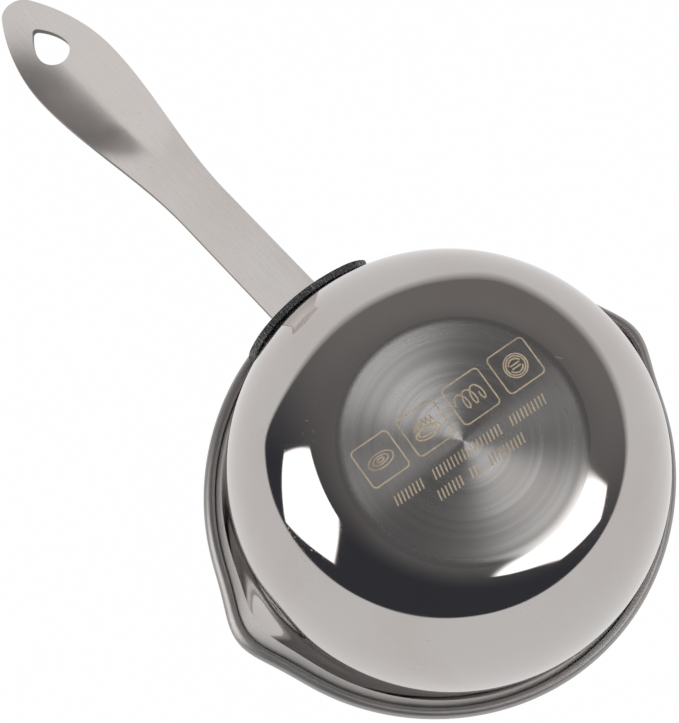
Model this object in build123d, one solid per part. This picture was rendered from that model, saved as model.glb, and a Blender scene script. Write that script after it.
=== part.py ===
from build123d import *
import math
import os

# Candle melting pot, in millimetres. The pot stands on its base at z = 0 with the origin at the
# centre of the base. The handle runs out along +X and the two pouring lips point along +Y and -Y,
# turned a little off square to it, as the press leaves them.

# sheet and bowl
sheet = 0.8                 # thickness of the drawn steel sheet
base_radius = 33.0          # flat the pot stands on
belly_radius = 60.6         # widest part of the wall
pot_height = 63.0           # top of the rolled rim
belly_drop = 21.0           # widest part below the top of the pot
neck_in = 1.6               # how far the wall would draw in above the belly without its flare
flare_power = 8             # how late the wall flares out below the rim

# rolled rim
rim_overhang = 4.4          # how far the rim stands out past the belly, square to the pouring lips
bead_diameter = 3.4         # rolled edge
bead_lap = 0.9              # highest the wall may carry on above the middle of the rolled edge
flare_lap = 1.1             # how far inside the middle of the rolled edge the flare reaches it

# pouring lips
lip_turn = 1.2              # degrees the line of the lips is off square to the handle
lip_stretch = 3.5           # wide bulge of the rim towards the lips
lip_stretch_angle = 40.0    # degrees over which the wide bulge fades
lip_nose = 3.8              # narrow nose on top of the bulge
lip_nose_angle = 9.0        # degrees over which the nose fades
lip_start = 24.0            # how far below the rim the lips start to form

# handle bracket, a plate curved round the wall under the rim
bracket_gap = 0.9           # clear gap between the belly and the plate, filled by the welds
bracket_thickness = 2.0
bracket_width = 42.0        # chord across the handle
bracket_height = 20.0
bracket_corner = 7.0
bracket_drop = 5.0          # top edge of the plate below the top of the pot

# weld nuggets between the bracket and the bowl
nugget_diameter = 5.0
nugget_spread = 28.0        # distance between nuggets across the handle
nugget_rise = 9.0           # distance between nuggets up the plate

# handle, a pressed flat strip
handle_thickness = 2.0
handle_length = 143.0       # from the bracket to the tip, along the strip
handle_tilt = 18.0          # degrees above level
handle_drop = 4.5           # middle of the strip's root below the bracket's top edge
shank_width = 15.8
shank_length = 44.0         # straight part before the strip widens
grip_width = 27.2           # widest part of the grip
grip_from_tip = 35.0        # widest part to the tip
tip_radius = 6.0
dish_depth = 0.9            # hollow pressed in the underside of the grip
dish_length = 62.0
dish_width = 20.0
dish_from_tip = 46.0        # middle of the hollow to the tip

# hanging hole, a teardrop with its point towards the tip
hole_radius = 5.0
hole_point = 10.0           # from the centre of the round end to the point
hole_point_radius = 1.2
hole_from_tip = 22.8        # centre of the round end to the tip

# weld between the handle and the bracket
weld_leg = 1.6
weld_slope = 28.0           # degrees the weld's sides lean in

# values worked out from the sizes above
belly_height = pot_height - belly_drop
rim_radius = belly_radius + rim_overhang
bead_radius = bead_diameter / 2
bead_height = pot_height - bead_radius
bead_path_radius = rim_radius - bead_radius
flare_out = bead_path_radius - flare_lap - belly_radius
bracket_inner = belly_radius + bracket_gap
bracket_outer = bracket_inner + bracket_thickness
bracket_top = pot_height - bracket_drop
bracket_bottom = bracket_top - bracket_height
handle_root_height = bracket_top - handle_drop
rim_points = 72             # points on each closed curve round the bowl
bead_rounds = 16            # steps round the rolled edge's section
tall = 4 * pot_height       # longer than anything it cuts


def lip_bulge(angle):
    """Distance the rim stands out at an angle in degrees round the pot, towards the two lips."""
    bulge = 0.0
    for lip in (90.0 + lip_turn, 270.0 + lip_turn):
        away = (angle - lip + 180.0) % 360.0 - 180.0
        bulge += lip_stretch * math.exp(-((away / lip_stretch_angle) ** 2))
        bulge += lip_nose * math.exp(-((away / lip_nose_angle) ** 2))
    return bulge


def lip_share(height):
    """Share of the lips' bulge that the wall has at a height, from none to all of it at the rim."""
    step = (height - (pot_height - lip_start)) / (bead_height - (pot_height - lip_start))
    step = min(max(step, 0.0), 1.0)
    return step ** 1.6


def wall_point(height):
    """Outer radius of the round wall at a height, with the outward normal there."""
    if height <= belly_height:
        turn = math.acos(1.0 - height / belly_height)
        swell = belly_radius - base_radius
        radius = base_radius + swell * math.sin(turn)
        normal = Vector(belly_height * math.sin(turn), -swell * math.cos(turn), 0).normalized()
        return radius, normal
    run = bead_height - belly_height
    t = (height - belly_height) / run
    radius = belly_radius - neck_in * t ** 2 + (neck_in + flare_out) * t ** flare_power
    slope = (-2 * neck_in * t + flare_power * (neck_in + flare_out) * t ** (flare_power - 1)) / run
    normal = Vector(1.0, -slope, 0).normalized()
    return radius, normal


def ring(radius, height, share):
    """Closed curve round the pot, with a share of the lips' bulge."""
    points = []
    for step in range(rim_points):
        angle = 360.0 * step / rim_points
        reach = radius + share * lip_bulge(angle)
        points.append((reach * math.cos(math.radians(angle)),
                       reach * math.sin(math.radians(angle)), height))
    return Wire([Spline(*points, periodic=True)])


def wall_heights(top):
    """Heights of the wall's sections from the base up to a height."""
    rounds = 9
    lower = [belly_height * (1.0 - math.cos(math.pi / 2 * step / rounds)) for step in range(rounds + 1)]
    steps = 9
    upper = [belly_height + (top - belly_height) * (step / steps) ** 0.8 for step in range(1, steps + 1)]
    return lower + upper


def meet_bead(inset):
    """Height on the wall's outer curve where its outside, or its inset inside, enters the rolled edge."""
    low = bead_height - bead_diameter
    high = bead_height + bead_lap
    for _ in range(40):
        height = (low + high) / 2
        radius, normal = wall_point(height)
        across = radius - inset * normal.X - bead_path_radius
        up = height - inset * normal.Y - bead_height
        if math.hypot(across, up) > bead_radius:
            low = height
        else:
            high = height
    return low


def wall_rings(inset):
    """Places of the wall's sections: the outside, or the inside when inset by the sheet."""
    places = []
    for height in wall_heights(meet_bead(inset)):
        radius, normal = wall_point(height)
        places.append((radius - inset * normal.X, height - inset * normal.Y, lip_share(height)))
    return places


def bead_rings(under, over):
    """Places of the rolled edge's sections, from the outside of the wall over to the inside."""
    start = math.atan2(under[1] - bead_height, under[0] - bead_path_radius)
    stop = math.atan2(over[1] - bead_height, over[0] - bead_path_radius)
    turn = (stop - start) % (2 * math.pi)
    angles = [start + turn * step / bead_rounds for step in range(1, bead_rounds)]
    return [(bead_path_radius + bead_radius * math.cos(angle),
             bead_height + bead_radius * math.sin(angle), 1.0) for angle in angles]


def bowl():
    """One drawn sheet: outside, rolled edge and inside, closed by the flat base and the floor."""
    outside = wall_rings(0.0)
    inside = wall_rings(sheet)
    bead = bead_rings(outside[-1], inside[-1])
    outer = [ring(*place) for place in outside]
    inner = [ring(*place) for place in inside]
    rolled = [outer[-1]] + [ring(*place) for place in bead] + [inner[-1]]
    faces = Shell.make_loft(outer).faces() + Shell.make_loft(rolled).faces()
    faces += Shell.make_loft(inner).faces() + [Face(outer[0]), Face(inner[0])]
    return Solid(Shell(faces))


def bowl_outside():
    """Solid that the outside of the wall bounds, below the rolled edge."""
    outer = [ring(*place) for place in wall_rings(0.0)]
    faces = Shell.make_loft(outer).faces() + [Face(outer[0]), Face(outer[-1])]
    return Solid(Shell(faces))


def bracket_blank():
    """Curved plate before its corners are rounded."""
    with_margin = 1.2 * math.degrees(math.asin(bracket_width / 2 / bracket_inner))
    section = Plane.XZ * Pos((bracket_inner + bracket_outer) / 2, (bracket_top + bracket_bottom) / 2)
    section = section * Rectangle(bracket_thickness, bracket_height)
    return Rot(0, 0, -with_margin) * revolve(section, Axis.Z, 2 * with_margin)


def handle_bracket():
    middle = (bracket_top + bracket_bottom) / 2
    outline = Plane(origin=(0, 0, middle), x_dir=(0, 1, 0), z_dir=(1, 0, 0))
    outline = outline * RectangleRounded(bracket_width, bracket_height, bracket_corner)
    return bracket_blank() & extrude(outline, amount=2 * bracket_outer)


def handle_plane():
    """Middle plane of the strip: x along the handle, y across it, origin on the bracket's face."""
    tilt = math.radians(handle_tilt)
    return Plane(origin=(bracket_outer, 0, handle_root_height), x_dir=(math.cos(tilt), 0, math.sin(tilt)),
                 z_dir=(-math.sin(tilt), 0, math.cos(tilt)))


def handle_outline():
    """Flat outline of the strip: straight shank, long swell to the grip, tapered round tip."""
    root = -3 * bracket_thickness
    widest = handle_length - grip_from_tip
    half_shank = shank_width / 2
    half_grip = grip_width / 2
    tip_centre = handle_length - tip_radius
    reach = tip_centre - widest
    side_radius = (reach ** 2 + half_grip ** 2 - tip_radius ** 2) / (2 * (half_grip - tip_radius))
    lean = math.degrees(math.atan2(side_radius - half_grip, reach))
    side = Line((root, half_shank), (shank_length, half_shank))
    swell = Spline((shank_length, half_shank), (widest, half_grip), tangents=((1, 0), (1, 0)))
    taper = CenterArc((widest, half_grip - side_radius), side_radius, lean, 90 - lean)
    tip = CenterArc((tip_centre, 0), tip_radius, -lean, 2 * lean)
    back = Line((root, -half_shank), (root, half_shank))
    half = [side, swell, taper]
    return make_face(Curve() + half + [mirror(edge, Plane.XZ) for edge in half] + [tip, back])


def hanging_hole():
    """Teardrop: a round end with straight sides to a small round point."""
    centre = handle_length - hole_from_tip
    round_end = Pos(centre, 0) * Circle(hole_radius)
    point = Pos(centre + hole_point - hole_point_radius, 0) * Circle(hole_point_radius)
    return make_hull((round_end + point).edges())


def dish_tool():
    """Part of a large ring, long and shallow, that presses the hollow in the underside of the grip."""
    across = ((dish_width / 2) ** 2 + dish_depth ** 2) / (2 * dish_depth)
    along = ((dish_length / 2) ** 2 + dish_depth ** 2) / (2 * dish_depth)
    middle = handle_length - dish_from_tip
    drop = -handle_thickness / 2 + dish_depth - along
    return Pos(middle, 0, drop) * Rot(90, 0, 0) * Torus(along - across, across)


def handle():
    strip = extrude(handle_outline(), amount=handle_thickness / 2, both=True) - dish_tool()
    strip -= extrude(hanging_hole(), amount=handle_thickness, both=True)
    strip = handle_plane() * strip
    return strip - Cylinder(bracket_outer, tall)


def handle_weld(strip, plate):
    """Fillet weld all round the root of the strip."""
    outline = RectangleRounded(shank_width + 2 * weld_leg, handle_thickness + 2 * weld_leg, weld_leg)
    foot = extrude(handle_plane() * Plane.YZ * Pos(0, 0, -weld_leg) * outline, amount=2 * weld_leg,
                   taper=weld_slope)
    return foot - strip - plate - Cylinder(bracket_outer, tall)


def bracket_welds(outside):
    """Four weld nuggets that join the plate to the wall."""
    middle = (bracket_top + bracket_bottom) / 2
    turn = math.degrees(math.asin(nugget_spread / 2 / bracket_inner))
    post = Rot(0, 90, 0) * Cylinder(nugget_diameter / 2, 2 * bracket_inner)
    nuggets = []
    for side in (-turn, turn):
        for level in (middle - nugget_rise / 2, middle + nugget_rise / 2):
            nugget = (Rot(0, 0, side) * Pos(bracket_inner, 0, level) * post) & Cylinder(bracket_inner, tall)
            nuggets += (nugget - outside).solids().filter_by_position(Axis.X, 0, tall)
    return Compound(children=nuggets)


def save(name, shape):
    export_step(shape, os.path.join("parts", name + ".step"))


os.makedirs("parts", exist_ok=True)
plate = handle_bracket()
strip = handle()
save("bowl", bowl())
save("handle_bracket", plate)
save("handle", strip)
save("handle_weld", handle_weld(strip, plate))
save("bracket_welds", bracket_welds(bowl_outside()))
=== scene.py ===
import math

import bmesh
import bpy
from mathutils import Matrix, Vector, noise


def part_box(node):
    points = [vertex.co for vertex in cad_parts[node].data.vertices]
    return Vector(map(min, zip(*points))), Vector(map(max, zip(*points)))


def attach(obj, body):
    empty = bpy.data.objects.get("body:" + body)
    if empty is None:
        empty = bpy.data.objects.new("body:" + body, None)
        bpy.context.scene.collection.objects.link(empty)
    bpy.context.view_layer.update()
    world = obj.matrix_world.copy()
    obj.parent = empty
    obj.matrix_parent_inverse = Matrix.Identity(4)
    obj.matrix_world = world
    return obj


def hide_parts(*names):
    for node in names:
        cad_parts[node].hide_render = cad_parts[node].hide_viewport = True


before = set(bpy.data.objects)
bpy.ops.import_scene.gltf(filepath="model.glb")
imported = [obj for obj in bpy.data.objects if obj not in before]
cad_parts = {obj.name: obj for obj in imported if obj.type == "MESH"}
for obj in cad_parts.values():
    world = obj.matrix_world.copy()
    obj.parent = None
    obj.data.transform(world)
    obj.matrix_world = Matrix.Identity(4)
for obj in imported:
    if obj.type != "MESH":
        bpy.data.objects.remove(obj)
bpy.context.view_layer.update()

mm = 0.001
bowlLow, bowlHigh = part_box("bowl")
plateLow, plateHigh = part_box("handle_bracket")
stripLow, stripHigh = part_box("handle")


# small helpers for node trees and meshes

def addNode(tree, kind, place, **settings):
    made = tree.nodes.new(kind)
    made.location = place
    for key, value in settings.items():
        setattr(made, key, value)
    return made


def setInputs(made, **values):
    for key, value in values.items():
        made.inputs[key.replace("_", " ")].default_value = value
    return made


def join(tree, *pairs):
    for start, end in pairs:
        tree.links.new(start, end)


def mathNode(tree, operation, place, first, second=None, clamp=False):
    made = addNode(tree, "ShaderNodeMath", place, operation=operation, use_clamp=clamp)
    for socket, value in zip(made.inputs, (first, second)):
        if isinstance(value, (int, float)):
            socket.default_value = value
        elif value is not None:
            tree.links.new(value, socket)
    return made.outputs[0]


def smoothRange(tree, place, value, low, high, toLow=0.0, toHigh=1.0):
    made = addNode(tree, "ShaderNodeMapRange", place, interpolation_type="SMOOTHSTEP")
    setInputs(made, From_Min=low, From_Max=high, To_Min=toLow, To_Max=toHigh)
    tree.links.new(value, made.inputs["Value"])
    return made.outputs["Result"]


def mixColor(tree, place, factor, first, second, blend="MIX"):
    made = addNode(tree, "ShaderNodeMix", place, data_type="RGBA", blend_type=blend)
    for socket, value in zip((made.inputs[0], made.inputs[6], made.inputs[7]), (factor, first, second)):
        if isinstance(value, (int, float)):
            socket.default_value = value
        elif isinstance(value, (tuple, list)):
            socket.default_value = (*value, 1.0)
        else:
            tree.links.new(value, socket)
    return made.outputs[2]


def startGroup(name, inputs, outputs):
    group = bpy.data.node_groups.new(name, "ShaderNodeTree")
    for label, kind, value in inputs:
        socket = group.interface.new_socket(label, in_out="INPUT", socket_type=kind)
        if value is not None:
            socket.default_value = value
    for label, kind in outputs:
        group.interface.new_socket(label, in_out="OUTPUT", socket_type=kind)
    start = addNode(group, "NodeGroupInput", (-1200, 0))
    end = addNode(group, "NodeGroupOutput", (900, 0))
    return group, start, end


def useGroup(tree, group, place, **values):
    made = addNode(tree, "ShaderNodeGroup", place, node_tree=group)
    return setInputs(made, **values)


def meshPiece(name, bm, materials, smooth=True):
    mesh = bpy.data.meshes.new(name)
    bm.to_mesh(mesh)
    bm.free()
    for material in materials:
        mesh.materials.append(material)
    mesh.polygons.foreach_set("use_smooth", [smooth] * len(mesh.polygons))
    piece = bpy.data.objects.new(name, mesh)
    bpy.context.scene.collection.objects.link(piece)
    print(name, len(mesh.polygons), "faces")
    return piece


def markSharp(bm, degrees):
    for edge in bm.edges:
        if len(edge.link_faces) == 2:
            edge.smooth = edge.calc_face_angle(0.0) < math.radians(degrees)


def settle(piece, slotName, *nodes):
    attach(piece, "root")
    if nodes:
        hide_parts(*nodes)


# shared shader groups: each puts out masks and heights only

def makeScratches():
    # sparse hairlines: noise drawn out along one direction, kept only where it peaks
    group, start, end = startGroup("fineScratches", [
        ("Vector", "NodeSocketVector", None), ("Across", "NodeSocketFloat", 3000.0),
        ("Along", "NodeSocketFloat", 60.0), ("Turn", "NodeSocketFloat", 0.0),
        ("Peak", "NodeSocketFloat", 0.70)], [("Mask", "NodeSocketFloat")])
    turned = addNode(group, "ShaderNodeVectorRotate", (-1000, 100), rotation_type="Z_AXIS")
    squeeze = addNode(group, "ShaderNodeCombineXYZ", (-1000, -120))
    scaled = addNode(group, "ShaderNodeVectorMath", (-800, 0), operation="MULTIPLY")
    lines = addNode(group, "ShaderNodeTexNoise", (-600, 100), noise_dimensions="3D")
    setInputs(lines, Scale=1.0, Detail=1.0)
    patches = addNode(group, "ShaderNodeTexNoise", (-600, -200), noise_dimensions="3D")
    setInputs(patches, Scale=45.0, Detail=2.0)
    join(group, (start.outputs["Vector"], turned.inputs["Vector"]),
         (start.outputs["Turn"], turned.inputs["Angle"]),
         (start.outputs["Along"], squeeze.inputs["X"]), (start.outputs["Across"], squeeze.inputs["Y"]),
         (start.outputs["Across"], squeeze.inputs["Z"]), (turned.outputs[0], scaled.inputs[0]),
         (squeeze.outputs[0], scaled.inputs[1]), (scaled.outputs[0], lines.inputs["Vector"]),
         (start.outputs["Vector"], patches.inputs["Vector"]))
    over = mathNode(group, "SUBTRACT", (-300, 100), lines.outputs[0], start.outputs["Peak"])
    line = mathNode(group, "MULTIPLY", (-100, 100), over, 14.0, clamp=True)
    kept = smoothRange(group, (-300, -200), patches.outputs[0], 0.50, 0.62)
    mask = mathNode(group, "MULTIPLY", (200, 0), line, kept)
    join(group, (mask, end.inputs["Mask"]))
    return group


def makeHandling():
    # finger marks and polishing haze in slow patches
    group, start, end = startGroup("handlingHaze", [
        ("Vector", "NodeSocketVector", None), ("Scale", "NodeSocketFloat", 30.0)],
        [("Haze", "NodeSocketFloat")])
    slow = addNode(group, "ShaderNodeTexNoise", (-700, 150))
    setInputs(slow, Detail=4.0, Roughness=0.6, Distortion=0.6)
    haze = smoothRange(group, (-400, 150), slow.outputs[0], 0.38, 0.72)
    join(group, (start.outputs["Vector"], slow.inputs["Vector"]),
         (start.outputs["Scale"], slow.inputs["Scale"]), (haze, end.inputs["Haze"]))
    return group


def makeTurnedRings():
    # tool marks in circles round the axis, fine and wide, that slowly change round the turn
    group, start, end = startGroup("turnedRings", [
        ("Vector", "NodeSocketVector", None), ("Rings", "NodeSocketFloat", 600.0),
        ("Reach", "NodeSocketFloat", 35.0 * mm), ("Fade", "NodeSocketFloat", 4.0 * mm)],
        [("Height", "NodeSocketFloat"), ("Tone", "NodeSocketFloat"), ("Inside", "NodeSocketFloat")])
    flat = addNode(group, "ShaderNodeVectorMath", (-1000, 0), operation="MULTIPLY")
    flat.inputs[1].default_value = (1.0, 1.0, 0.0)
    length = addNode(group, "ShaderNodeVectorMath", (-800, 0), operation="LENGTH")
    spread = addNode(group, "ShaderNodeVectorMath", (-800, -250), operation="SCALE")
    spread.inputs["Scale"].default_value = 9.0
    join(group, (start.outputs["Vector"], flat.inputs[0]), (flat.outputs[0], length.inputs[0]),
         (flat.outputs[0], spread.inputs[0]))
    radius = length.outputs["Value"]
    cut = mathNode(group, "MULTIPLY", (-600, 150), radius, start.outputs["Rings"])
    coarse = mathNode(group, "MULTIPLY", (-600, -50), cut, 0.23)       # wider bands, about four cuts each
    rings = addNode(group, "ShaderNodeTexNoise", (-400, 250), noise_dimensions="4D")
    setInputs(rings, Scale=1.0, Detail=1.5, Roughness=0.6)
    bands = addNode(group, "ShaderNodeTexNoise", (-400, -50), noise_dimensions="4D")
    setInputs(bands, Scale=1.0, Detail=2.0)
    join(group, (spread.outputs[0], rings.inputs["Vector"]), (cut, rings.inputs["W"]),
         (spread.outputs[0], bands.inputs["Vector"]), (coarse, bands.inputs["W"]))
    left = mathNode(group, "SUBTRACT", (-400, -350), start.outputs["Reach"], radius)
    edge = mathNode(group, "DIVIDE", (-200, -350), left, start.outputs["Fade"], clamp=True)
    wide = mathNode(group, "MULTIPLY", (-100, 50), bands.outputs[0], 0.8)
    height = mathNode(group, "ADD", (0, 200), rings.outputs[0], wide)
    height = mathNode(group, "MULTIPLY", (200, 200), height, edge)
    both = mathNode(group, "MULTIPLY", (-100, -100), mathNode(
        group, "ADD", (-200, -100), rings.outputs[0], bands.outputs[0]), 0.5)
    tone = smoothRange(group, (0, -100), both, 0.38, 0.62)
    join(group, (height, end.inputs["Height"]), (tone, end.inputs["Tone"]), (edge, end.inputs["Inside"]))
    return group


scratches = makeScratches()
handling = makeHandling()
turnedRings = makeTurnedRings()
print("shader groups ready")


# materials

steelTint = (0.545, 0.520, 0.505)      # plain stainless steel in neutral light
steelWarm = (0.530, 0.485, 0.468)      # where it has been handled


def startMaterial(name, metallic=1.0):
    material = bpy.data.materials.new(name)
    material.use_nodes = True
    tree = material.node_tree
    tree.nodes.clear()
    out = addNode(tree, "ShaderNodeOutputMaterial", (1200, 0))
    shader = addNode(tree, "ShaderNodeBsdfPrincipled", (900, 0))
    setInputs(shader, Metallic=metallic)
    place = addNode(tree, "ShaderNodeTexCoord", (-1200, 0))
    join(tree, (shader.outputs[0], out.inputs["Surface"]))
    return material, tree, shader, place.outputs["Object"]


def addBump(tree, shader, place, height, distance, strength=1.0, before=None):
    bump = addNode(tree, "ShaderNodeBump", place)
    setInputs(bump, Strength=strength, Distance=distance)
    tree.links.new(height, bump.inputs["Height"])
    if before is not None:
        tree.links.new(before, bump.inputs["Normal"])
    tree.links.new(bump.outputs[0], shader.inputs["Normal"])
    return bump.outputs[0]


def makePolished():
    # mirror finish of the wall with a slight hand-polished waviness, haze and stray hairlines
    material, tree, shader, place = startMaterial("polishedSteel")
    haze = useGroup(tree, handling, (-900, 300), Scale=26.0)
    hairs = useGroup(tree, scratches, (-900, -50), Across=2600.0, Along=90.0, Turn=0.6, Peak=0.70)
    cross = useGroup(tree, scratches, (-900, -400), Across=3400.0, Along=160.0, Turn=2.2, Peak=0.72)
    join(tree, *[(place, made.inputs["Vector"]) for made in (haze, hairs, cross)])
    lines = mathNode(tree, "MAXIMUM", (-600, -200), hairs.outputs["Mask"], cross.outputs["Mask"])
    tint = mixColor(tree, (-300, 300), haze.outputs["Haze"], steelTint, steelWarm)
    faint = mathNode(tree, "MULTIPLY", (-300, 100), lines, 0.35)
    tint = mixColor(tree, (-100, 300), faint, tint, (0.20, 0.18, 0.17))
    rough = mathNode(tree, "MULTIPLY", (-100, 0), haze.outputs["Haze"], 0.035)
    rough = mathNode(tree, "ADD", (100, 0), rough, mathNode(tree, "MULTIPLY", (-100, -150), lines, 0.20))
    rough = mathNode(tree, "ADD", (300, 0), rough, 0.035)
    wave = addNode(tree, "ShaderNodeTexNoise", (-600, -600))
    setInputs(wave, Scale=38.0, Detail=1.0)
    join(tree, (place, wave.inputs["Vector"]), (tint, shader.inputs["Base Color"]),
         (rough, shader.inputs["Roughness"]))
    soft = addBump(tree, shader, (300, -500), wave.outputs[0], 0.5 * mm, 0.25)
    grooves = mathNode(tree, "MULTIPLY", (300, -300), lines, -1.0)
    addBump(tree, shader, (500, -300), grooves, 0.01 * mm, 0.5, soft)
    return material


def makeTurned():
    # lathe-turned flat of the base: fine circles, so highlights draw out into fans
    material, tree, shader, place = startMaterial("turnedSteel")
    rings = useGroup(tree, turnedRings, (-900, 300), Rings=620.0, Reach=32.8 * mm, Fade=2.6 * mm)
    haze = useGroup(tree, handling, (-900, 0), Scale=40.0)
    join(tree, *[(place, made.inputs["Vector"]) for made in (rings, haze)])
    tint = mixColor(tree, (-300, 300), rings.outputs["Tone"], (0.47, 0.458, 0.447), (0.36, 0.35, 0.342))
    worn = mathNode(tree, "MULTIPLY", (-300, 100), haze.outputs["Haze"], 0.3)
    tint = mixColor(tree, (-100, 300), worn, tint, (0.45, 0.425, 0.41))
    rough = mathNode(tree, "MULTIPLY", (-300, -50), rings.outputs["Tone"], 0.07)
    rough = mathNode(tree, "ADD", (-100, -50), rough, mathNode(
        tree, "MULTIPLY", (-300, -200), haze.outputs["Haze"], 0.04))
    rough = mathNode(tree, "MULTIPLY", (100, -50), mathNode(tree, "ADD", (0, -50), rough, 0.25), smoothRange(
        tree, (-100, -250), rings.outputs["Inside"], 0.0, 1.0, 0.25, 1.0))
    tangent = addNode(tree, "ShaderNodeTangent", (500, -600), direction_type="RADIAL", axis="Z")
    setInputs(shader, Anisotropic=0.92, Anisotropic_Rotation=0.25)
    join(tree, (tint, shader.inputs["Base Color"]), (rough, shader.inputs["Roughness"]),
         (tangent.outputs[0], shader.inputs["Tangent"]))
    addBump(tree, shader, (400, -300), rings.outputs["Height"], 0.012 * mm, 0.4)
    return material


def makeSatin(name, tint, roughness, stretch, spread, grain=0.010 * mm, haze=0.05, marks=0.5):
    # satin steel with straight grain along stretch, the scale of the pattern on each axis
    material, tree, shader, place = startMaterial(name)
    along = addNode(tree, "ShaderNodeMapping", (-1000, 300))
    along.inputs["Scale"].default_value = stretch
    streaks = addNode(tree, "ShaderNodeTexNoise", (-800, 300))
    setInputs(streaks, Scale=1.0, Detail=6.0, Roughness=0.7)
    worn = useGroup(tree, handling, (-800, 0), Scale=30.0)
    hairs = useGroup(tree, scratches, (-800, -300), Across=2800.0, Along=80.0, Turn=0.35, Peak=0.68)
    cross = useGroup(tree, scratches, (-800, -600), Across=3600.0, Along=200.0, Turn=1.7, Peak=0.71)
    join(tree, (place, along.inputs["Vector"]), (along.outputs[0], streaks.inputs["Vector"]),
         *[(place, made.inputs["Vector"]) for made in (worn, hairs, cross)])
    lines = mathNode(tree, "MAXIMUM", (-500, -450), hairs.outputs["Mask"], cross.outputs["Mask"])
    base = mixColor(tree, (-500, 300), streaks.outputs[0], tint, tuple(0.86 * part for part in tint))
    touched = mathNode(tree, "MULTIPLY", (-500, 100), worn.outputs["Haze"], 0.5)
    base = mixColor(tree, (-300, 300), touched, base, (tint[0], tint[1] * 0.955, tint[2] * 0.945))
    base = mixColor(tree, (-100, 300), mathNode(tree, "MULTIPLY", (-300, 100), lines, marks), base,
                    tuple(0.45 * part for part in tint))
    rough = mathNode(tree, "MULTIPLY", (-300, 0), streaks.outputs[0], spread)
    rough = mathNode(tree, "ADD", (-100, 0), rough, mathNode(
        tree, "MULTIPLY", (-300, -150), worn.outputs["Haze"], haze))
    rough = mathNode(tree, "ADD", (100, 0), rough, roughness)
    height = mathNode(tree, "SUBTRACT", (100, -300), streaks.outputs[0], mathNode(
        tree, "MULTIPLY", (-100, -300), lines, 0.8))
    join(tree, (base, shader.inputs["Base Color"]), (rough, shader.inputs["Roughness"]))
    addBump(tree, shader, (400, -300), height, grain, 0.5)
    return material


def makeSheared(name, dark, light, scale, depth, roughness):
    # broken, sheared or welded metal: dull dark grain with bright torn flecks
    material, tree, shader, place = startMaterial(name)
    grains = addNode(tree, "ShaderNodeTexVoronoi", (-900, 300))
    setInputs(grains, Scale=scale, Randomness=1.0)
    broken = addNode(tree, "ShaderNodeTexNoise", (-900, 0))
    setInputs(broken, Scale=scale * 1.4, Detail=6.0, Roughness=0.75)
    soot = addNode(tree, "ShaderNodeTexNoise", (-900, -300))
    setInputs(soot, Scale=scale * 0.18, Detail=3.0)
    join(tree, *[(place, made.inputs["Vector"]) for made in (grains, broken, soot)])
    flecks = smoothRange(tree, (-600, 150), broken.outputs[0], 0.48, 0.66)
    patch = smoothRange(tree, (-600, -300), soot.outputs[0], 0.38, 0.62)
    tint = mixColor(tree, (-300, 300), flecks, dark, light)
    tint = mixColor(tree, (-100, 300), mathNode(tree, "MULTIPLY", (-300, -100), patch, 0.6), tint, dark)
    rough = mathNode(tree, "ADD", (-100, 0), mathNode(tree, "MULTIPLY", (-300, 0), flecks, -0.12), roughness)
    height = mathNode(tree, "ADD", (-100, -400), broken.outputs[0], mathNode(
        tree, "MULTIPLY", (-300, -400), grains.outputs["Distance"], 0.7))
    join(tree, (tint, shader.inputs["Base Color"]), (rough, shader.inputs["Roughness"]))
    addBump(tree, shader, (400, -300), height, depth, 0.8)
    return material


def makeEtched():
    # laser-etched lines: straw-coloured oxide, uneven along the stroke
    material, tree, shader, place = startMaterial("etchedMarks", 0.2)
    worn = addNode(tree, "ShaderNodeTexNoise", (-800, 200))
    setInputs(worn, Scale=900.0, Detail=4.0, Roughness=0.7)
    fade = addNode(tree, "ShaderNodeTexNoise", (-800, -100))
    setInputs(fade, Scale=120.0, Detail=2.0)
    join(tree, (place, worn.inputs["Vector"]), (place, fade.inputs["Vector"]))
    tint = mixColor(tree, (-400, 200), smoothRange(tree, (-600, 200), worn.outputs[0], 0.3, 0.7),
                    (0.66, 0.52, 0.35), (0.82, 0.70, 0.52))
    tint = mixColor(tree, (-200, 200), smoothRange(tree, (-600, -100), fade.outputs[0], 0.45, 0.75), tint,
                    (0.50, 0.41, 0.31))
    rough = mathNode(tree, "ADD", (-200, 0), mathNode(tree, "MULTIPLY", (-400, 0), worn.outputs[0], 0.2), 0.5)
    join(tree, (tint, shader.inputs["Base Color"]), (rough, shader.inputs["Roughness"]))
    addBump(tree, shader, (400, -300), worn.outputs[0], 0.02 * mm, 0.8)
    return material


polishedSteel = makePolished()
turnedSteel = makeTurned()
insideSteel = makeSatin("satinInside", (0.56, 0.54, 0.525), 0.20, (60.0, 60.0, 1500.0), 0.10)
rimSteel = makeSatin("rolledRimSteel", (0.42, 0.405, 0.395), 0.32, (1300.0, 1300.0, 1300.0), 0.16, 0.012 * mm)
# band just under the rim: steel painted much lighter than the wall, a painted highlight for the bright
# reflection the bead shades off
flarePaintedHighlight = makeSatin("flarePaintedHighlight", (0.78, 0.76, 0.74), 0.46, (1900.0, 1900.0, 1900.0), 0.18, 0.03 * mm)
handleSteel = makeSatin("handleSteel", (0.555, 0.530, 0.512), 0.17, (45.0, 1500.0, 300.0), 0.07,
                        0.005 * mm, 0.05, 0.30)
# cut edges of the handle: steel painted near-black, painted shade for the dark edge faces seen from below
handleEdgePaintedShade = makeSatin("handleEdgePaintedShade", (0.15, 0.145, 0.14), 0.30, (200.0, 900.0, 2200.0), 0.14,
                            0.02 * mm)
plateSteel = makeSatin("plateSteel", (0.50, 0.475, 0.46), 0.20, (900.0, 60.0, 900.0), 0.10, 0.012 * mm)
shearedSteel = makeSheared("shearedEdge", (0.10, 0.10, 0.103), (0.50, 0.49, 0.48), 1500.0, 0.10 * mm, 0.50)
weldSteel = makeSheared("weldBead", (0.060, 0.052, 0.050), (0.34, 0.31, 0.30), 1200.0, 0.06 * mm, 0.42)
etchedMarks = makeEtched()
print("materials ready")


# bowl: one drawn sheet with a curled rim and two pouring lips

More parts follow.
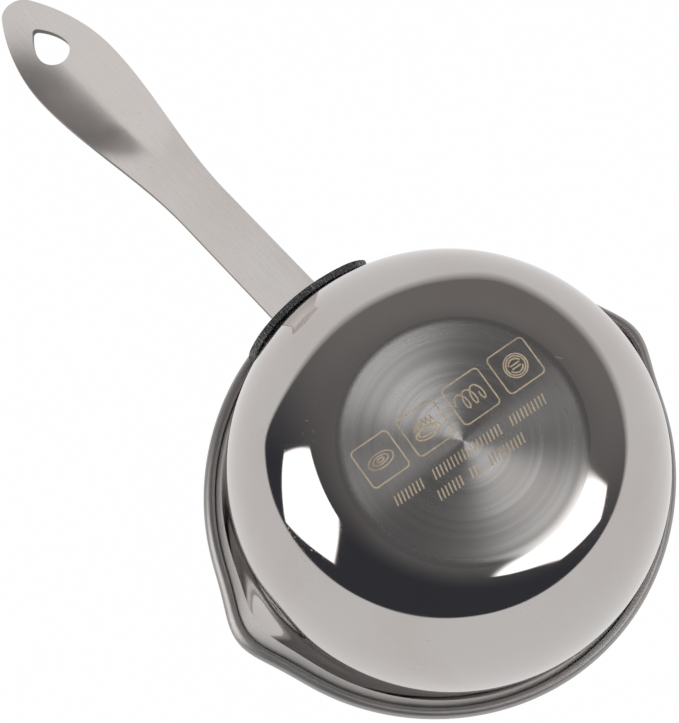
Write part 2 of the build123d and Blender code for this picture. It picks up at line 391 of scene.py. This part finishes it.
bowlShape = dict(
    sheet=0.8 * mm, baseRadius=33.0 * mm, bellyDrop=21.0 * mm, flarePower=11.0,
    rimOverhang=4.4 * mm, beadRadius=1.7 * mm, flareLap=1.1 * mm,
    lipTurn=1.2, lipStretch=3.5 * mm, lipStretchAngle=40.0, lipNose=3.8 * mm, lipNoseAngle=9.0,
    lipStart=24.0 * mm,
    steps=320, turnedReach=33.0 * mm, flareBand=7.0 * mm)


def lipBulge(angle):
    s = bowlShape
    bulge = 0.0
    for lip in (90.0 + s["lipTurn"], 270.0 + s["lipTurn"]):
        away = (angle - lip + 180.0) % 360.0 - 180.0
        bulge += s["lipStretch"] * math.exp(-(away / s["lipStretchAngle"]) ** 2)
        bulge += s["lipNose"] * math.exp(-(away / s["lipNoseAngle"]) ** 2)
    return bulge


rimTop = bowlHigh.z
rimRadius = bowlHigh.x - lipBulge(0.0)
bellyHeight = rimTop - bowlShape["bellyDrop"]
bellyRadius = rimRadius - bowlShape["rimOverhang"]
beadHeight = rimTop - bowlShape["beadRadius"]
beadPath = rimRadius - bowlShape["beadRadius"]


def wallAt(height):
    # outer radius of the wall and its outward normal, below and above the belly
    s = bowlShape
    if height <= bellyHeight:
        turn = math.acos(1.0 - height / bellyHeight)
        swell = bellyRadius - s["baseRadius"]
        normal = Vector((bellyHeight * math.sin(turn), -swell * math.cos(turn))).normalized()
        return s["baseRadius"] + swell * math.sin(turn), normal
    run = beadHeight - bellyHeight
    t = (height - bellyHeight) / run
    rise = beadPath - s["flareLap"] - bellyRadius
    slope = s["flarePower"] * rise * t ** (s["flarePower"] - 1) / run
    return bellyRadius + rise * t ** s["flarePower"], Vector((1.0, -slope)).normalized()


def bowlProfile():
    # (radius, height) from the middle of the base, up the outside, round the rim and down the inside
    s = bowlShape
    heights = [bellyHeight * (1 - math.cos(math.pi / 2 * k / 40)) for k in range(41)]
    heights += [bellyHeight + (beadHeight - 0.5 * mm - bellyHeight) * (k / 26) ** 0.85 for k in range(1, 27)]
    outside = [(wallAt(h)[0], h) for h in heights]
    inside = []
    for h in reversed(heights + [beadHeight - 0.25 * mm]):
        radius, normal = wallAt(h)
        inside.append((radius - s["sheet"] * normal.x, h - s["sheet"] * normal.y))
    lap = outside[-1]
    crevice = [(lap[0] + 0.16 * mm, lap[1] + 0.14 * mm), (lap[0] + 0.5 * mm, lap[1] + 0.42 * mm),
               (lap[0] + 0.75 * mm, lap[1] + 0.25 * mm)]
    curl = [(beadPath + s["beadRadius"] * math.cos(math.radians(a)), beadHeight + s["beadRadius"] * math.sin(
        math.radians(a))) for a in range(-138, 165, 9)]
    flat = [(s["baseRadius"] * k / 8, 0.0) for k in range(8)]
    floorRing = [(s["baseRadius"] * (7 - k) / 8, s["sheet"]) for k in range(8)]
    return flat + outside + crevice + curl + inside + floorRing


def makeBowl():
    s = bowlShape
    bm = bmesh.new()
    points = [bm.verts.new((radius, 0.0, height)) for radius, height in bowlProfile()]
    lines = [bm.edges.new(pair) for pair in zip(points, points[1:])]
    bmesh.ops.spin(bm, geom=points + lines, cent=(0, 0, 0), axis=(0, 0, 1), dvec=(0, 0, 0),
                   angle=2 * math.pi, steps=s["steps"], use_merge=True, use_duplicate=False)
    bmesh.ops.remove_doubles(bm, verts=bm.verts, dist=0.002 * mm)
    bmesh.ops.recalc_face_normals(bm, faces=bm.faces)
    for face in bm.faces:
        middle = face.calc_center_median()
        radius = math.hypot(middle.x, middle.y)
        wall = wallAt(min(max(middle.z, 0.0), beadHeight))[0]
        if math.hypot(radius - beadPath, middle.z - beadHeight) < s["beadRadius"] * 1.03:
            face.material_index = 3
        elif middle.z > 0.4 * s["sheet"] and (radius < s["baseRadius"] or radius < wall - 0.4 * s["sheet"]):
            face.material_index = 2
        # the band just under the rim gets the lighter flare steel (slot 4), a painted highlight
        elif middle.z > rimTop - s["flareBand"]:
            face.material_index = 4
        elif radius < s["turnedReach"]:
            face.material_index = 1
    lipFoot = rimTop - s["lipStart"]
    for point in bm.verts:
        share = min(max((point.co.z - lipFoot) / (beadHeight - lipFoot), 0.0), 1.0) ** 1.6
        radius = math.hypot(point.co.x, point.co.y)
        if share > 0.0:
            out = share * lipBulge(math.degrees(math.atan2(point.co.y, point.co.x)))
            point.co.x *= (radius + out) / radius
            point.co.y *= (radius + out) / radius
    markSharp(bm, 38)
    return meshPiece("bowl_body", bm, [polishedSteel, turnedSteel, insideSteel, rimSteel, flarePaintedHighlight])


bowl = makeBowl()
settle(bowl, "bowl_steel", "bowl")


# etched marks on the base: four framed signs and two rows of hatching

marksShape = dict(
    turn=4.3, width=0.40 * mm, proud=0.012 * mm, frameAlong=1.3 * mm, frameSide=11.3 * mm,
    framePitch=14.4 * mm, frameAway=8.3 * mm, corner=1.2 * mm, rowOne=-2.9 * mm, rowTwo=-8.1 * mm,
    runsOne=((-19.2, 9.0), (-0.8, 21.5), (18.5, 11.5)),       # middle and length of each run of strokes
    runsTwo=((-9.8, 8.0), (-2.0, 3.2), (8.0, 11.2)),
    tickHigh=2.8 * mm, tickPitch=1.15 * mm, tickLean=0.6 * mm)


def oval(cx, cy, rx, ry, start=0.0, stop=360.0, count=40):
    # points of an ellipse in millimetres: x along the row, y up towards the handle
    return [(cx + rx * math.cos(math.radians(start + (stop - start) * k / count)),
             cy + ry * math.sin(math.radians(start + (stop - start) * k / count))) for k in range(count + 1)]


def framePath():
    half = marksShape["frameSide"] / mm / 2
    corner = marksShape["corner"] / mm
    path = []
    for k, (sx, sy) in enumerate(((1, 1), (-1, 1), (-1, -1), (1, -1))):
        path += oval(sx * (half - corner), sy * (half - corner), corner, corner, 90 * k, 90 * k + 90, 6)
    return path + [path[0]]


def signPaths(number):
    if number == 0:         # plate seen at a slant
        return [oval(0, -0.3, 3.7, 1.9), oval(0, -0.2, 2.3, 1.05), oval(0, -0.2, 1.0, 0.45)]
    if number == 1:         # burner ring with flames
        flames = []
        for k in range(5):
            middle = -2.5 + 1.25 * k
            foot = 0.35 + 0.5 * math.cos(middle / 2.0)
            flames.append([(middle - 0.5, foot), (middle - 0.1, foot + 0.8), (middle + 0.1, foot + 2.0),
                           (middle + 0.35, foot + 0.9), (middle + 0.6, foot)])
        return [oval(0, -1.2, 3.6, 1.6), oval(0, -0.9, 2.7, 1.0)] + flames
    if number == 2:         # heating coil
        coil = [(-3.6 + 7.2 * k / 90 + 1.1 * math.cos(k / 90 * 6 * math.pi + math.pi),
                 2.3 * math.sin(k / 90 * 6 * math.pi)) for k in range(91)]
        return [coil]
    rings = [oval(0, 0, r, r) for r in (3.2, 2.6)]      # rings over a bar
    return rings + [oval(0, 0, 1.9, 1.9, 20, 160, 16), oval(0, 0, 1.9, 1.9, 200, 340, 16),
                    [(-1.4, 0.45), (1.4, 0.45)], [(-1.4, -0.45), (1.4, -0.45)]]


def markPaths():
    s = marksShape
    paths = []
    for number in range(4):
        along = (number - 1.5) * s["framePitch"] + s["frameAlong"]
        for path in [framePath()] + signPaths(number):
            paths.append([(along + x * mm, s["frameAway"] + y * mm) for x, y in path])
    for row, runs in ((s["rowOne"], s["runsOne"]), (s["rowTwo"], s["runsTwo"])):
        for middle, length in runs:
            count = round(length * mm / s["tickPitch"])
            for k in range(count):
                along = middle * mm + (k - (count - 1) / 2) * s["tickPitch"]
                paths.append([(along - s["tickLean"] / 2, row - s["tickHigh"] / 2),
                              (along + s["tickLean"] / 2, row + s["tickHigh"] / 2)])
    return paths


def makeMarks():
    curve = bpy.data.curves.new("base_marks_lines", "CURVE")
    curve.dimensions = "3D"
    curve.bevel_depth = marksShape["width"] / 2
    curve.bevel_resolution = 1
    for path in markPaths():
        closed = (Vector(path[0]) - Vector(path[-1])).length < 1e-7
        kept = path[:-1] if closed else path
        spline = curve.splines.new("POLY")
        spline.points.add(len(kept) - 1)
        for point, (along, up) in zip(spline.points, kept):
            point.co = (up, along, 0.0, 1.0)
        spline.use_cyclic_u = closed
    lines = bpy.data.objects.new("base_marks_lines", curve)
    bpy.context.scene.collection.objects.link(lines)
    bpy.context.view_layer.update()
    drawn = lines.evaluated_get(bpy.context.evaluated_depsgraph_get())
    bm = bmesh.new()
    bm.from_mesh(bpy.data.meshes.new_from_object(drawn))
    bpy.data.objects.remove(lines)
    bmesh.ops.remove_doubles(bm, verts=bm.verts, dist=0.002 * mm)
    bmesh.ops.scale(bm, verts=bm.verts, vec=(1.0, 1.0, 2 * marksShape["proud"] / marksShape["width"]))
    bm.transform(Matrix.Rotation(math.radians(marksShape["turn"]), 4, "Z"))
    return meshPiece("base_marks", bm, [etchedMarks], smooth=False)


marks = makeMarks()
settle(marks, "bowl_steel")


# handle: a pressed strip with a dished grip and a teardrop hole

bracketOuter = plateHigh.x
handleShape = dict(
    tilt=18.0, length=143.0 * mm, thickness=2.0 * mm, rootDrop=4.5 * mm,
    shank=15.8 * mm, shankLength=44.0 * mm, grip=27.2 * mm, gripFromTip=35.0 * mm, tipRadius=6.0 * mm,
    holeRadius=5.0 * mm, holePoint=8.8 * mm, holePointRadius=1.2 * mm, holeFromTip=22.8 * mm,
    dishDepth=1.6 * mm, dishFrom=66.0 * mm, dishRise=20.0 * mm, dishFall=34.0 * mm, columns=24, stations=150,
    edgeRound=0.35 * mm, holeRings=7, holeBack=2.0 * mm, holeSurround=9.6 * mm, holeWidthShare=0.585,
    rootSink=0.6 * mm, tipStretch=22.0 * mm, tipShare=0.22)


def handleMatrix():
    tilt = math.radians(handleShape["tilt"])
    x = Vector((math.cos(tilt), 0, math.sin(tilt)))
    z = Vector((-math.sin(tilt), 0, math.cos(tilt)))
    turn = Matrix((x, (0, 1, 0), z)).transposed().to_4x4()
    return Matrix.Translation((bracketOuter, 0, plateHigh.z - handleShape["rootDrop"])) @ turn


def halfWidth(u):
    s = handleShape
    widest = s["length"] - s["gripFromTip"]
    tip = s["length"] - s["tipRadius"]
    shank, grip = s["shank"] / 2, s["grip"] / 2
    if u <= s["shankLength"]:
        return shank
    if u <= widest:
        t = (u - s["shankLength"]) / (widest - s["shankLength"])
        return shank + (grip - shank) * t * t * (3 - 2 * t)
    reach = tip - widest
    side = (reach ** 2 + grip ** 2 - s["tipRadius"] ** 2) / (2 * (grip - s["tipRadius"]))
    meet = tip + s["tipRadius"] * reach / side
    if u <= meet:
        return grip - side + math.sqrt(side ** 2 - (u - widest) ** 2)
    return math.sqrt(max(s["tipRadius"] ** 2 - (u - tip) ** 2, 0.0))


def holeReach(angle):
    # distance from the hole's middle to its edge: the furthest of circles from the round end to the point
    s = handleShape
    direction = Vector((math.cos(angle), math.sin(angle)))
    reach = 0.0
    for k in range(41):
        middle = Vector((s["holePoint"] * k / 40 - s["holeBack"], 0.0))
        radius = s["holeRadius"] + (s["holePointRadius"] - s["holeRadius"]) * (k / 40) ** 1.5
        ahead = middle.dot(direction)
        under = radius ** 2 - (middle.length_squared - ahead ** 2)
        if under > 0:
            reach = max(reach, ahead + math.sqrt(under))
    return reach


def ease(t):
    t = min(max(t, 0.0), 1.0)
    return t * t * (3 - 2 * t)


def press(u, v):
    # how far the grip is pressed up: deepest soon after its start, running out towards the tip
    s = handleShape
    across = max(1.0 - abs(v / max(halfWidth(u), 1.0 * mm)) ** 1.5, 0.0)
    start = s["dishFrom"] + 5.0 * mm * (1.0 - across)
    rise = ease((u - start) / s["dishRise"])
    return s["dishDepth"] * across * rise * ease((s["length"] - u) / s["dishFall"])


def makeHandle():
    s = handleShape
    bm = bmesh.new()
    bmesh.ops.create_grid(bm, x_segments=s["stations"], y_segments=s["columns"], size=1.0)
    root, straight = -s["rootSink"], 1.0 - s["tipShare"]
    for point in bm.verts:
        part = (point.co.x + 1) / 2
        if part < straight:
            u = root + (s["length"] - s["tipStretch"] - root) * part / straight
        else:       # stations crowd together towards the round tip
            turn = math.pi / 2 * (part - straight) / s["tipShare"]
            u = s["length"] - s["tipStretch"] * (1 - math.sin(turn))
        point.co = (u, point.co.y * halfWidth(u), 0.0)
    bmesh.ops.remove_doubles(bm, verts=bm.verts, dist=0.01 * mm)
    middle = s["length"] - s["holeFromTip"] + s["holeBack"]
    near = [f for f in bm.faces if abs(f.calc_center_median().x - middle) < s["holeSurround"]
            and abs(f.calc_center_median().y) < s["holeWidthShare"] * halfWidth(f.calc_center_median().x)]
    bmesh.ops.delete(bm, geom=near, context="FACES")
    loop = [e for e in bm.edges if e.is_boundary and abs(e.verts[0].co.x - middle) < 1.2 * s["holeSurround"]
            and all(abs(v.co.y) < 1.2 * s["holeWidthShare"] * halfWidth(v.co.x) for v in e.verts)]
    for left in range(s["holeRings"], 0, -1):
        made = bmesh.ops.extrude_edge_only(bm, edges=loop)["geom"]
        ringVerts = [g for g in made if isinstance(g, bmesh.types.BMVert)]
        loop = [g for g in made if isinstance(g, bmesh.types.BMEdge) and all(v in ringVerts for v in g.verts)]
        for point in ringVerts:
            angle = math.atan2(point.co.y, point.co.x - middle)
            far = math.hypot(point.co.x - middle, point.co.y)
            reach = far + (holeReach(angle) - far) / left
            point.co.x = middle + reach * math.cos(angle)
            point.co.y = reach * math.sin(angle)
    for point in bm.verts:
        point.co.z = press(point.co.x, point.co.y)
    bmesh.ops.recalc_face_normals(bm, faces=bm.faces)
    if sum(f.normal.z for f in bm.faces) < 0:
        bmesh.ops.reverse_faces(bm, faces=bm.faces)
    bmesh.ops.translate(bm, verts=bm.verts, vec=(0, 0, s["thickness"] / 2))
    under = bmesh.ops.extrude_face_region(bm, geom=bm.faces[:])["geom"]
    underVerts = [g for g in under if isinstance(g, bmesh.types.BMVert)]
    bmesh.ops.translate(bm, verts=underVerts, vec=(0, 0, -s["thickness"]))
    bmesh.ops.recalc_face_normals(bm, faces=bm.faces)
    for face in bm.faces:
        # faces of the sheet get plain steel; the edge faces (slot 1) get the near-black steel, painted shade
        face.material_index = 0 if abs(face.normal.z) > 0.6 else 1
    rims = [e for e in bm.edges if len(e.link_faces) == 2 and e.calc_face_angle(0.0) > math.radians(55)]
    bmesh.ops.bevel(bm, geom=rims, offset=s["edgeRound"], offset_type="OFFSET", segments=3, profile=0.5,
                    affect="EDGES", material=-1, clamp_overlap=True)
    bm.transform(handleMatrix())
    markSharp(bm, 12)
    return meshPiece("handle_strip", bm, [handleSteel, handleEdgePaintedShade])


handle = makeHandle()
settle(handle, "handle_steel", "handle")


# bracket: a plate curved round the wall, sheared edges left rough

bracketShape = dict(width=42.0 * mm, height=20.0 * mm, corner=7.0 * mm, thickness=2.0 * mm,
                    columns=120, rows=36, edgeRound=0.25 * mm, roughness=0.16 * mm)


def makeBracket():
    s = bracketShape
    bm = bmesh.new()
    bmesh.ops.create_grid(bm, x_segments=s["columns"], y_segments=s["rows"], size=1.0)
    middle = (plateHigh.z + plateLow.z) / 2
    straight = s["width"] / 2 - s["corner"]
    for point in bm.verts:
        across = 0.35 * math.sin(point.co.x * math.pi / 2) + 0.65 * point.co.x      # finer towards the ends
        across *= s["width"] / 2
        high = s["height"] / 2
        if abs(across) > straight:
            inset = abs(across) - straight
            high += math.sqrt(max(s["corner"] ** 2 - inset ** 2, 0.0)) - s["corner"]
        angle = math.asin(across / bracketOuter)
        up = middle + point.co.y * high
        point.co = (bracketOuter * math.cos(angle), bracketOuter * math.sin(angle), up)
    bmesh.ops.recalc_face_normals(bm, faces=bm.faces)
    if sum(f.normal.x for f in bm.faces) < 0:
        bmesh.ops.reverse_faces(bm, faces=bm.faces)
    bmesh.ops.solidify(bm, geom=bm.faces, thickness=s["thickness"])
    bmesh.ops.recalc_face_normals(bm, faces=bm.faces)
    for face in bm.faces:
        spot = face.calc_center_median()
        outward = Vector((spot.x, spot.y, 0)).normalized()
        face.material_index = 0 if abs(face.normal.dot(outward)) > 0.6 else 1
    rims = [e for e in bm.edges if len(e.link_faces) == 2 and e.calc_face_angle(0.0) > math.radians(55)]
    bmesh.ops.bevel(bm, geom=rims, offset=s["edgeRound"], offset_type="OFFSET", segments=2, profile=0.5,
                    affect="EDGES", material=-1, clamp_overlap=True)
    torn = [e for e in bm.edges if all(f.material_index == 1 for f in e.link_faces)]
    bmesh.ops.subdivide_edges(bm, edges=torn, cuts=3, use_grid_fill=True)
    for point in bm.verts:
        if all(f.material_index == 1 for f in point.link_faces):
            point.co.z += s["roughness"] * noise.noise(point.co * 1400.0)
            point.co += point.normal * s["roughness"] * 0.6 * noise.noise(point.co * 3000.0)
    markSharp(bm, 60)
    return meshPiece("handle_bracket_plate", bm, [plateSteel, shearedSteel])


bracket = makeBracket()
settle(bracket, "bracket_steel", "handle_bracket")


# welds: a rippled bead round the handle's root, and the nuggets behind the plate

weldShape = dict(bead=1.35 * mm, reach=0.25 * mm, ripple=0.10, ripplePitch=1.1 * mm, points=220,
                 squareness=0.32, lump=0.18, flatness=0.75)


def makeHandleWeld():
    # a closed tube round the strip's root, with a ripple for each dab of the torch
    s = weldShape
    halfAcross = handleShape["shank"] / 2 + s["reach"]
    halfThick = handleShape["thickness"] / 2 + s["reach"]
    perimeter = 4 * (halfAcross + halfThick)
    toWorld = handleMatrix()
    bm = bmesh.new()
    made = bmesh.ops.create_circle(bm, cap_ends=False, radius=1.0, segments=14)
    ring = made["verts"]
    rest = [v.co.copy() for v in ring]
    edges = list(bm.edges)
    first = ring
    loops = [ring]
    for k in range(1, s["points"]):
        out = bmesh.ops.extrude_edge_only(bm, edges=edges)["geom"]
        new = [g for g in out if isinstance(g, bmesh.types.BMVert)]
        edges = [g for g in out if isinstance(g, bmesh.types.BMEdge) and all(v in new for v in g.verts)]
        loops.append(new)
    for k, loop in enumerate(loops):
        angle = 2 * math.pi * k / s["points"]
        across = math.copysign(abs(math.cos(angle)) ** s["squareness"], math.cos(angle)) * halfAcross
        thick = math.copysign(abs(math.sin(angle)) ** s["squareness"], math.sin(angle)) * halfThick
        centre = toWorld @ Vector((0.0, across, thick))
        centre.x = math.sqrt(max(bracketOuter ** 2 - centre.y ** 2, 0.0))
        outward = Vector((0.0, math.cos(angle) / halfAcross, math.sin(angle) / halfThick)).normalized()
        outward = (toWorld.to_3x3() @ outward).normalized()
        swell = 1.0 + s["ripple"] * math.sin(angle * perimeter / s["ripplePitch"] / 2)
        swell += s["lump"] * noise.noise(centre * 900.0)
        for point, place in zip(loop, rest):
            section = outward * place.x * 0.9 + Vector((1, 0, 0)) * place.y * s["flatness"]
            point.co = centre + s["bead"] * swell * section
    bmesh.ops.bridge_loops(bm, edges=edges + [e for e in bm.edges if all(v in first for v in e.verts)])
    bmesh.ops.recalc_face_normals(bm, faces=bm.faces)
    return meshPiece("handle_weld_bead", bm, [weldSteel])


weld = makeHandleWeld()
settle(weld, "weld_steel", "handle_weld")

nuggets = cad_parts["bracket_welds"]
nuggets.data.materials.clear()
nuggets.data.materials.append(weldSteel)
print("pieces ready")


# stage: pale floor under the pot, seen only from above

floorShape = dict(size=6.0, drop=0.5 * mm)


def makeFloor():
    bm = bmesh.new()
    bmesh.ops.create_grid(bm, x_segments=8, y_segments=8, size=floorShape["size"])
    bmesh.ops.translate(bm, verts=bm.verts, vec=(0, 0, bowlLow.z - floorShape["drop"]))
    material = bpy.data.materials.new("paleFloor")
    material.use_nodes = True
    tree = material.node_tree
    tree.nodes.clear()
    out = addNode(tree, "ShaderNodeOutputMaterial", (800, 0))
    paint = addNode(tree, "ShaderNodeBsdfPrincipled", (200, 100))
    setInputs(paint, Roughness=0.8)
    clear = addNode(tree, "ShaderNodeBsdfTransparent", (200, -300))
    mix = addNode(tree, "ShaderNodeMixShader", (500, 0))
    side = addNode(tree, "ShaderNodeNewGeometry", (0, 400))
    place = addNode(tree, "ShaderNodeTexCoord", (-800, 0))
    grain = addNode(tree, "ShaderNodeTexNoise", (-500, 0))
    setInputs(grain, Scale=30.0, Detail=4.0)
    tint = mixColor(tree, (-200, 0), grain.outputs[0], (0.80, 0.80, 0.80), (0.84, 0.84, 0.84))
    join(tree, (place.outputs["Object"], grain.inputs["Vector"]), (tint, paint.inputs["Base Color"]),
         (side.outputs["Backfacing"], mix.inputs[0]), (paint.outputs[0], mix.inputs[1]),
         (clear.outputs[0], mix.inputs[2]), (mix.outputs[0], out.inputs["Surface"]))
    ground = meshPiece("floor", bm, [material], smooth=False)
    ground.visible_glossy = False
    ground.visible_diffuse = False
    ground.visible_shadow = False
    ground.visible_transmission = False


makeFloor()


# studio: bright tent above, dim room below with two softboxes

studio = dict(
    table=0.88, tableNormal=(-0.41, 0.04, 1.0), tableEdge=-0.13,
    softTowards=(0.62, 0.78, 0.0), dipTowards=(0.95, 0.15, 0.0), dip=0.52, backdrop=0.995,
    roomDark=(0.050, 0.053, 0.064), roomLight=(0.235, 0.225, 0.222), roomTowards=(0.55, 0.75, -0.25),
    boxes=(
        dict(power=2.4, soft=0.012, corners=((0.50, -0.36, -0.79), (0.70, -0.65, -0.253), (0.40, -0.91, 0.02),
                                             (0.004, -0.919, -0.394), (0.16, -0.36, -0.92))),
        dict(power=2.4, soft=0.012, corners=((0.060, 0.215, -0.975), (-0.423, 0.536, -0.731),
                                             (-0.616, 0.466, -0.636), (-0.589, 0.192, -0.785),
                                             (-0.234, 0.041, -0.971)))))


def makeStudio():
    world = bpy.data.worlds.new("studio")
    bpy.context.scene.world = world
    world.use_nodes = True
    tree = world.node_tree
    tree.nodes.clear()
    out = addNode(tree, "ShaderNodeOutputWorld", (1600, 0))
    place = addNode(tree, "ShaderNodeTexCoord", (-1400, 0))
    direction = place.outputs["Generated"]

    def along(vector, spot):
        made = addNode(tree, "ShaderNodeVectorMath", spot, operation="DOT_PRODUCT")
        made.inputs[1].default_value = vector
        tree.links.new(direction, made.inputs[0])
        return made.outputs["Value"]

    side = along(Vector(studio["roomTowards"]).normalized(), (-1100, 300))
    towards = smoothRange(tree, (-900, 300), side, -0.2, 0.85)
    light = mixColor(tree, (-600, 300), towards, studio["roomDark"], studio["roomLight"])
    height = along(studio["tableNormal"], (-1100, 0))
    level = mathNode(tree, "SUBTRACT", (-900, 0), height, studio["tableEdge"])
    softSide = along(studio["softTowards"], (-1100, -200))
    softness = smoothRange(tree, (-900, -200), softSide, -0.1, 1.0, 0.03, 0.30)
    dipSide = along(studio["dipTowards"], (-1100, -350))
    dip = smoothRange(tree, (-900, -350), dipSide, 0.62, 1.0, 0.0, studio["dip"])
    level = mathNode(tree, "ADD", (-700, -150), level, dip)     # the bright edge dips on the handle's side
    share = mathNode(tree, "DIVIDE", (-700, 0), level, softness)
    rise = mathNode(tree, "ADD", (-500, 0), share, 0.5, clamp=True)
    light = mixColor(tree, (-300, 200), rise, light, (studio["table"],) * 3)
    for number, box in enumerate(studio["boxes"]):
        corners = [Vector(corner).normalized() for corner in box["corners"]]
        centre = sum(corners, Vector())
        mask = None
        for k, corner in enumerate(corners):        # inside the box means inside each of its sides
            low = -500 - 700 * number - 130 * k
            side = corner.cross(corners[(k + 1) % len(corners)]).normalized()
            if side.dot(centre) < 0:
                side.negate()
            inside = smoothRange(tree, (-900, low), along(side, (-1100, low)), -box["soft"], box["soft"])
            mask = inside if mask is None else mathNode(tree, "MULTIPLY", (-600, low), mask, inside)
        light = mixColor(tree, (200 + 200 * number, 0), mask, light, (box["power"],) * 3)
    lit = addNode(tree, "ShaderNodeBackground", (1000, 100))
    backdrop = addNode(tree, "ShaderNodeBackground", (1000, -100))
    backdrop.inputs["Color"].default_value = (*(studio["backdrop"],) * 3, 1.0)
    seen = addNode(tree, "ShaderNodeLightPath", (1000, 500))
    mix = addNode(tree, "ShaderNodeMixShader", (1300, 0))
    join(tree, (light, lit.inputs["Color"]), (seen.outputs["Is Camera Ray"], mix.inputs[0]),
         (lit.outputs[0], mix.inputs[1]), (backdrop.outputs[0], mix.inputs[2]),
         (mix.outputs[0], out.inputs["Surface"]))


makeStudio()


cardShape = dict(towards=(0.80, -0.20, -0.56), away=0.6, wide=0.62, high=0.80, power=1.40)


def makeHandleCard():
    # a white card that only the handle catches, as a hand-held reflector gives it
    s = cardShape
    data = bpy.data.lights.new("handle_card", "AREA")
    data.shape = "RECTANGLE"
    data.size = s["wide"]
    data.size_y = s["high"]
    data.energy = s["power"]
    card = bpy.data.objects.new("handle_card", data)
    bpy.context.scene.collection.objects.link(card)
    middle = (stripLow + stripHigh) / 2
    towards = Vector(s["towards"]).normalized()
    card.location = middle + towards * s["away"]
    card.rotation_mode = "QUATERNION"
    card.rotation_quaternion = (-towards).to_track_quat("-Z", "Y")
    card.visible_camera = False
    lit = bpy.data.collections.new("caught_by_card")
    for piece in (handle, weld):
        lit.objects.link(piece)
    card.light_linking.receiver_collection = lit


makeHandleCard()
print("studio ready")


# camera: looks up at the base from below, the way a hand turns the pot over

cameraShape = dict(place=(-55.07 * mm, -129.41 * mm, -627.07 * mm), target=(36.08 * mm, -11.34 * mm, 0.0),
                   up=(0.7572, 0.6130, -0.2255), lens=124.5)


def makeCamera():
    s = cameraShape
    data = bpy.data.cameras.new("camera")
    data.lens = s["lens"]
    data.sensor_width = 36.0
    data.clip_start = 0.01
    camera = bpy.data.objects.new("camera", data)
    bpy.context.scene.collection.objects.link(camera)
    ahead = (Vector(s["target"]) - Vector(s["place"])).normalized()
    right = ahead.cross(Vector(s["up"])).normalized()
    up = right.cross(ahead)
    camera.matrix_world = Matrix.Translation(s["place"]) @ Matrix((right, up, -ahead)).transposed().to_4x4()
    bpy.context.scene.camera = camera


makeCamera()
bpy.context.scene.view_settings.view_transform = "Standard"
print("camera ready")

bpy.context.view_layer.update()
